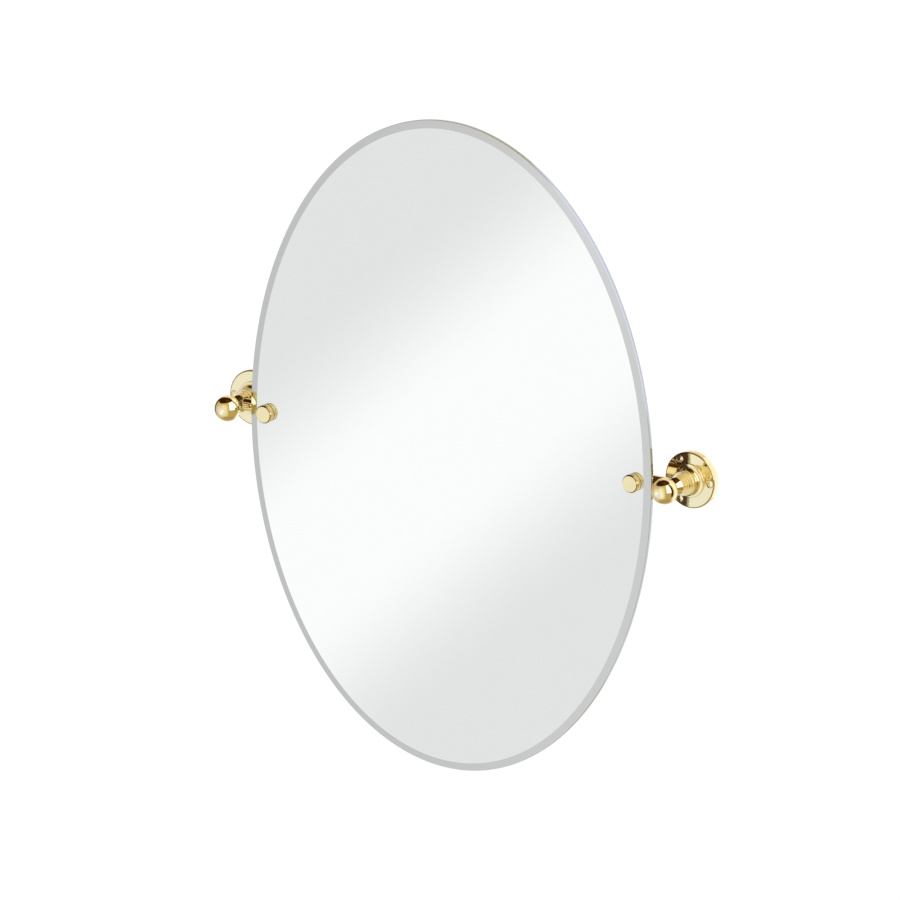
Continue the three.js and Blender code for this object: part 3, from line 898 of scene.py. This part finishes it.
def oval(sections):
    """A closed mesh through ovals, each (inset from the outline, y)."""
    bm = bmesh.new()
    loops = []
    for inset, y in sections:
        loop = []
        for i in range(OVAL_STEPS):
            angle = 2 * math.pi * i / OVAL_STEPS
            x = (GLASS_HALF_WIDTH - inset) * math.cos(angle)
            z = (GLASS_HALF_HEIGHT - inset) * math.sin(angle)
            loop.append(bm.verts.new((x, y, z)))
        loops.append(loop)
    for lower, upper in zip(loops, loops[1:]):
        for i in range(OVAL_STEPS):
            j = (i + 1) % OVAL_STEPS
            bm.faces.new((lower[i], lower[j], upper[j], upper[i]))
    bm.faces.new(loops[0])
    bm.faces.new(loops[-1])
    bmesh.ops.recalc_face_normals(bm, faces=bm.faces)
    return bm


def glass_holes():
    reach = POST_X + CLAMP_X
    return [
        moved(rod(GLASS_HOLE_RADIUS, GLASS_FRONT - 5 * PAST, BACKING_BACK + 5 * PAST), x=sign * reach)
        for sign in SIDES.values()
    ]


def pane(name, sections):
    """An oval piece with its two clamp holes, at its place in metres."""
    piece = to_object(name, oval(sections))
    cut(piece, glass_holes())
    piece.data.transform(Matrix.Scale(MM, 4) @ Matrix.Translation((0, PIVOT_Y, 0)))
    return piece


def make_glass():
    """The bevelled pane, with its face, bevel and edge finished apart, and the painted silver behind it."""
    bevel_back = GLASS_FRONT + BEVEL_DEPTH
    glass = pane("mirror_glass_fine", [
        (BEVEL_WIDTH, GLASS_FRONT),
        (GLASS_CORNER * 0.7, bevel_back - GLASS_CORNER * 0.1),
        (0.0, bevel_back + GLASS_CORNER),
        (0.0, GLASS_BACK - GLASS_CORNER),
        (GLASS_CORNER, GLASS_BACK),
    ])
    surfaces = (MIRROR_FACE, MIRROR_BEVEL_PAINTED_SHADE, GLASS_EDGE)
    finished(glass, "mirror", "mirror_glass", "mirror_glass", *surfaces, sharp=BEVEL_SHARP)
    bevel_end = (bevel_back + PIVOT_Y) * MM
    for face in glass.data.polygons:
        if abs(face.normal.y) < FLAT_NORMAL:
            surface = GLASS_EDGE if face.center.y > bevel_end else MIRROR_BEVEL_PAINTED_SHADE
            face.material_index = surfaces.index(surface)
    backing_inset = GLASS_HALF_WIDTH - half("silver_backing", "x")
    backing = pane("silver_backing_fine", [(backing_inset, BACKING_FRONT), (backing_inset, BACKING_BACK)])
    finished(backing, "mirror", "silver_backing", "back_paint", BACK_PAINT)


make_flanges()
make_posts()
make_finials()
make_clamps()
make_glass()


# ---- Camera ----

CAMERA_AZIMUTH = math.radians(33.81)
CAMERA_ELEVATION = math.radians(16.44)
CAMERA_DISTANCE = 15.0  # far off, because the photograph shows almost no perspective
CAMERA_TARGET = Vector((0.0025, (PIVOT_Y + GLASS_FRONT) * MM, -0.00275))
CAMERA_LENS = 577.8
IMAGE_SIZE = 900
PHOTO_OFFSET = 0.5  # of a pixel, from the middle of the photograph

TOWARDS_CAMERA = Vector((
    math.sin(CAMERA_AZIMUTH) * math.cos(CAMERA_ELEVATION),
    -math.cos(CAMERA_AZIMUTH) * math.cos(CAMERA_ELEVATION),
    math.sin(CAMERA_ELEVATION),
))


def add_camera():
    camera = bpy.data.objects.new("camera", bpy.data.cameras.new("camera"))
    bpy.context.scene.collection.objects.link(camera)
    camera.data.lens = CAMERA_LENS
    camera.data.sensor_width = 36.0
    camera.data.clip_end = 200.0
    camera.data.shift_x = -PHOTO_OFFSET / IMAGE_SIZE
    camera.data.shift_y = PHOTO_OFFSET / IMAGE_SIZE
    camera.location = CAMERA_TARGET + TOWARDS_CAMERA * CAMERA_DISTANCE
    camera.rotation_mode = "QUATERNION"
    camera.rotation_quaternion = (-TOWARDS_CAMERA).to_track_quat("-Z", "Y")
    bpy.context.scene.camera = camera


add_camera()


# ---- Floor, light and what the polished parts reflect ----

FLOOR_Z = -1.5
FLOOR_HALF = 60.0
FLOOR_CELLS = 8
FLOOR_DULL = grey(0.90)
FLOOR_BRIGHT = grey(0.92)
SKY = 1.15

# Colours of the studio in reflections
MIDTONE = (0.69, 0.63, 0.53, 1)
LOW_TONE = (0.58, 0.52, 0.39, 1)
FLOOR_TONE = (0.47, 0.43, 0.36, 1)
LEFT_WALL = (1.0, 0.97, 0.98, 1)
RIGHT_WALL = (1.3, 1.37, 2.1, 1)
FRONT_PANEL = (0.98, 0.99, 1.03, 1)
SIDE_PANEL = (1.9, 2.2, 4.4, 1)
DARK_GAP = (0.05, 0.015, 0.003, 1)
CEILING_GLOW = (0.11, 0.065, 0.02, 1)
CEILING_CENTRE = Vector((-0.334, 0.152, 0.930))
CEILING_ANGLES = (48, 40)  # degrees from its centre where the dark ceiling starts, and where it is full
CEILING_SLOPE = Vector((0, -1, 0.6)).normalized()
CEILING_LIMITS = (-0.14, 0.06)  # along that slope, where the dark ceiling starts and where it is full
GLOW_HEIGHTS = (0.965, 0.998)  # of a direction that looks almost straight up, where the ceiling glows

# Each panel's azimuths, elevations and softness in degrees, and its colour. Later ones cover earlier ones.
STUDIO_PANELS = [
    ((-230, -130), (-50, 80), 12, LEFT_WALL),
    ((122, 230), (-50, 80), 8, RIGHT_WALL),
    ((42, 118), (-90, -2), 12, LOW_TONE),
    ((-181, 181), (-95, -60), 9, FLOOR_TONE),
    ((-22, 32), (-52, 44), 16, FRONT_PANEL),
    ((-128, -98), (-28, 68), 9, DARK_GAP),
    ((93, 114), (-34, 64), 4, DARK_GAP),
]
SIDE_WINDOW = ((52, 93), (-2, 64), 2)  # covers all the others, the ceiling too


def add_floor():
    bm = bmesh.new()
    bmesh.ops.create_grid(bm, x_segments=FLOOR_CELLS, y_segments=FLOOR_CELLS, size=FLOOR_HALF)
    floor = to_object("floor", moved(bm, z=FLOOR_Z))
    material, graph, shader = new_material("pale_floor", Roughness=0.9)
    speckle = graph.noise(graph.place(), scale=3.0, detail=2.0)
    graph.put(shader["Base Color"], graph.mix(speckle, FLOOR_DULL, FLOOR_BRIGHT))
    floor.data.materials.append(material)
    floor.visible_glossy = False


def add_world():
    """Even white light, and a studio of soft panels and dark gaps that only reflections see."""
    world = bpy.data.worlds.new("studio")
    world.use_nodes = True
    world.cycles.sampling_method = "NONE"
    bpy.context.scene.world = world
    graph = Graph(world.node_tree)
    direction = graph.add("ShaderNodeTexCoord").outputs["Generated"]
    x, y, z = graph.split(direction)
    azimuth = graph.math("ARCTAN2", x, graph.math("MULTIPLY", y, -1.0))
    elevation = graph.math("ARCSINE", z)

    def window(azimuths, elevations, soft):
        """1 inside a range of azimuth and elevation in degrees, fading to 0 outside it."""
        sides = []
        for value, (low, high) in ((azimuth, azimuths), (elevation, elevations)):
            sides.append(graph.smooth(value, math.radians(low - soft), math.radians(low + soft)))
            sides.append(graph.smooth(value, math.radians(high + soft), math.radians(high - soft)))
        inside = sides[0]
        for side in sides[1:]:
            inside = graph.math("MULTIPLY", inside, side)
        return inside

    def side_of(normal, low, high):
        """Fades from 0 to 1 as the direction's part along a unit vector goes from low to high."""
        along = graph.add("ShaderNodeVectorMath", {0: direction, 1: normal}, operation="DOT_PRODUCT")
        return graph.smooth(along.outputs["Value"], low, high)

    look = MIDTONE
    for azimuths, elevations, soft, colour in STUDIO_PANELS:
        look = graph.mix(window(azimuths, elevations, soft), look, colour)
    cap_edge, cap_full = (math.cos(math.radians(angle)) for angle in CEILING_ANGLES)
    cap = side_of(CEILING_CENTRE, cap_edge, cap_full)
    ceiling = graph.math("MULTIPLY", cap, side_of(CEILING_SLOPE, *CEILING_LIMITS))
    ceiling_colour = graph.mix(graph.smooth(z, *GLOW_HEIGHTS), DARK_GAP, CEILING_GLOW)
    look = graph.mix(ceiling, look, ceiling_colour)
    look = graph.mix(window(*SIDE_WINDOW), look, SIDE_PANEL)
    plain = graph.add("ShaderNodeBackground", {"Color": grey(1.0), "Strength": SKY}).outputs[0]
    studio = graph.add("ShaderNodeBackground", {"Color": look, "Strength": 1.0}).outputs[0]
    glossy = graph.add("ShaderNodeLightPath").outputs["Is Glossy Ray"]
    shown = graph.add("ShaderNodeMixShader", {0: glossy, 1: plain, 2: studio}).outputs[0]
    graph.add("ShaderNodeOutputWorld", {"Surface": shown})


# Lengths across the lit card are in metres from its middle
CARD_DISTANCE = 1.1
CARD_HALF = 0.95
CARD_FADE = 0.80
CARD_GREY = (0.855, 0.862, 0.858, 1)
BAND_WHITE = (1.095, 1.085, 1.09, 1)
BAND_ANGLE = math.radians(50)
BAND_INNER = 0.045
BAND_OUTER = 0.212
BORDER_START = 0.40
BORDER_END = 0.55
BORDER_LEFT = -0.7
BORDER_RIGHT = 0.6
BORDER_LEFT_GREY = grey(0.72)
BORDER_RIGHT_GREY = grey(0.82)


def add_card():
    """A lit card that only reflections see: a slanting bright band in its middle, and a darker border."""
    facing = Vector((-TOWARDS_CAMERA.x, TOWARDS_CAMERA.y, -TOWARDS_CAMERA.z))
    bm = bmesh.new()
    bmesh.ops.create_grid(bm, x_segments=2, y_segments=2, size=CARD_HALF)
    card = to_object("lit_card", bm)
    right = Vector((0, 0, 1)).cross(facing).normalized()
    up = facing.cross(right).normalized()
    centre = Vector((0, (PIVOT_Y + GLASS_FRONT) * MM, 0)) + facing * CARD_DISTANCE
    basis = Matrix((right, up, right.cross(up))).transposed()
    card.matrix_world = Matrix.Translation(centre) @ basis.to_4x4()
    material = bpy.data.materials.new("lit_card")
    material.use_nodes = True
    graph = Graph(material.node_tree)
    x, y, _ = graph.split(graph.place())
    slant_x = graph.math("MULTIPLY", x, math.cos(BAND_ANGLE))
    slant_y = graph.math("MULTIPLY", y, math.sin(BAND_ANGLE))
    slant = graph.math("SUBTRACT", slant_x, slant_y)
    band = graph.smooth(graph.math("ABSOLUTE", slant), BAND_OUTER, BAND_INNER)
    squares = [graph.math("MULTIPLY", value, value) for value in (x, y)]
    distance = graph.math("SQRT", graph.math("ADD", *squares))
    border = graph.smooth(distance, BORDER_START, BORDER_END)
    middle_colour = graph.mix(band, CARD_GREY, BAND_WHITE)
    across = graph.smooth(x, BORDER_LEFT, BORDER_RIGHT)
    border_colour = graph.mix(across, BORDER_LEFT_GREY, BORDER_RIGHT_GREY)
    colour = graph.mix(border, middle_colour, border_colour)
    light = graph.add("ShaderNodeEmission", {"Color": colour, "Strength": 1.0}).outputs[0]
    clear = graph.add("ShaderNodeBsdfTransparent").outputs[0]
    fade = graph.smooth(distance, CARD_FADE, CARD_HALF)
    shown = graph.add("ShaderNodeMixShader", {0: fade, 1: light, 2: clear}).outputs[0]
    graph.add("ShaderNodeOutputMaterial", {"Surface": shown})
    card.data.materials.append(material)
    card.visible_camera = False
    card.visible_diffuse = False
    card.visible_shadow = False
    card.visible_transmission = False


add_floor()
add_world()
add_card()
bpy.context.scene.view_settings.view_transform = "Standard"
